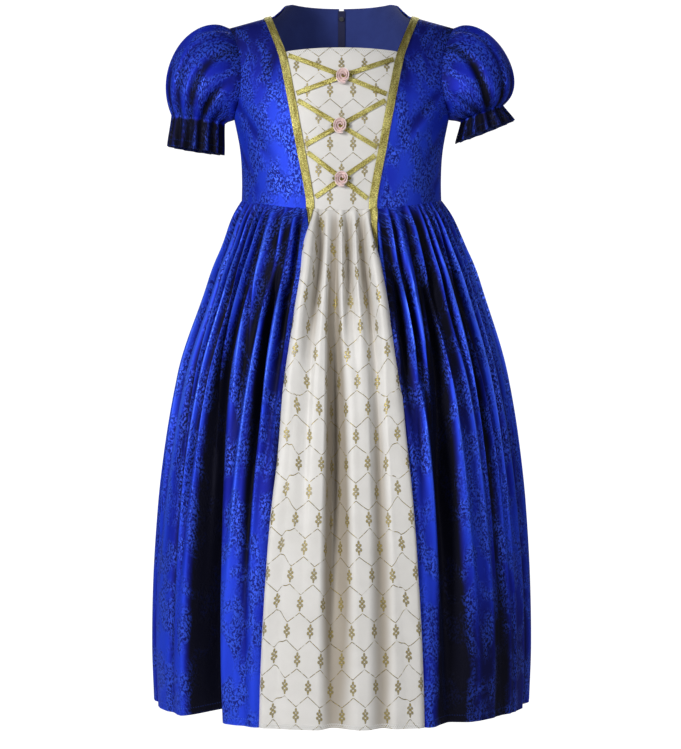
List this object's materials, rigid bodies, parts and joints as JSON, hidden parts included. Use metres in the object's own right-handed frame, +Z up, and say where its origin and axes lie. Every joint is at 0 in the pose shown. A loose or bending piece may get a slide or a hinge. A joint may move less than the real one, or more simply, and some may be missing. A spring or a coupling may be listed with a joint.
{
  "type": "princess costume dress with a zip pull",
  "caption": "Child's princess costume dress: velvet bodice with a laced satin stomacher, short puff sleeves and a long gathered skirt with a satin front panel.",
  "frame": {"origin": "midway between the two points where the shoulder seams meet the neck edge, where the shoulders carry the dress", "axes": "+Z up, -Y out of the dress's front, +X to the wearer's left"},
  "size_m": [0.4412, 0.3852, 0.8144],
  "materials": {
    "velvet": "crushed velvet, royal blue",
    "brocade_satin": "ivory satin with a small gold repeat",
    "gold_ribbon": "metallic woven ribbon",
    "rose_ribbon": "satin ribbon",
    "leaf_ribbon": "satin ribbon",
    "zip_tape": "woven tape with a nylon coil",
    "zip_metal": "nickel-plated zinc"
  },
  "bodies": {
    "dress": {"bodice_back_left": "velvet", "bodice_back_right": "velvet", "bodice_front_centre": "brocade_satin", "bodice_front_left": "velvet", "bodice_front_right": "velvet", "bodice_trim_left": "gold_ribbon", "bodice_trim_right": "gold_ribbon", "lacing_lower_falling": "gold_ribbon", "lacing_lower_rising": "gold_ribbon", "lacing_middle_falling": "gold_ribbon", "lacing_middle_rising": "gold_ribbon", "lacing_upper_falling": "gold_ribbon", "lacing_upper_rising": "gold_ribbon", "leaf_lower_left": "leaf_ribbon", "leaf_lower_right": "leaf_ribbon", "leaf_middle_left": "leaf_ribbon", "leaf_middle_right": "leaf_ribbon", "leaf_upper_left": "leaf_ribbon", "leaf_upper_right": "leaf_ribbon", "rosebud_lower": "rose_ribbon", "rosebud_middle": "rose_ribbon", "rosebud_upper": "rose_ribbon", "skirt_back_left": "velvet", "skirt_back_right": "velvet", "skirt_front_centre": "brocade_satin", "skirt_front_left": "velvet", "skirt_front_right": "velvet", "skirt_trim_left": "gold_ribbon", "skirt_trim_right": "gold_ribbon", "sleeve_left": "velvet", "sleeve_right": "velvet", "zip_chain": "zip_tape", "zip_slider": "zip_metal", "zip_tape": "zip_tape"},
    "zip_pull": {"zip_pull": "zip_metal"}
  },
  "joints": [
    {"name": "zip_pull_swing", "type": "hinge", "parent": "dress", "child": "zip_pull", "pos_m": [0, 0.06816, 0.00707], "axis": [1, 0, 0], "range_deg": [0, 170]}
  ]
}
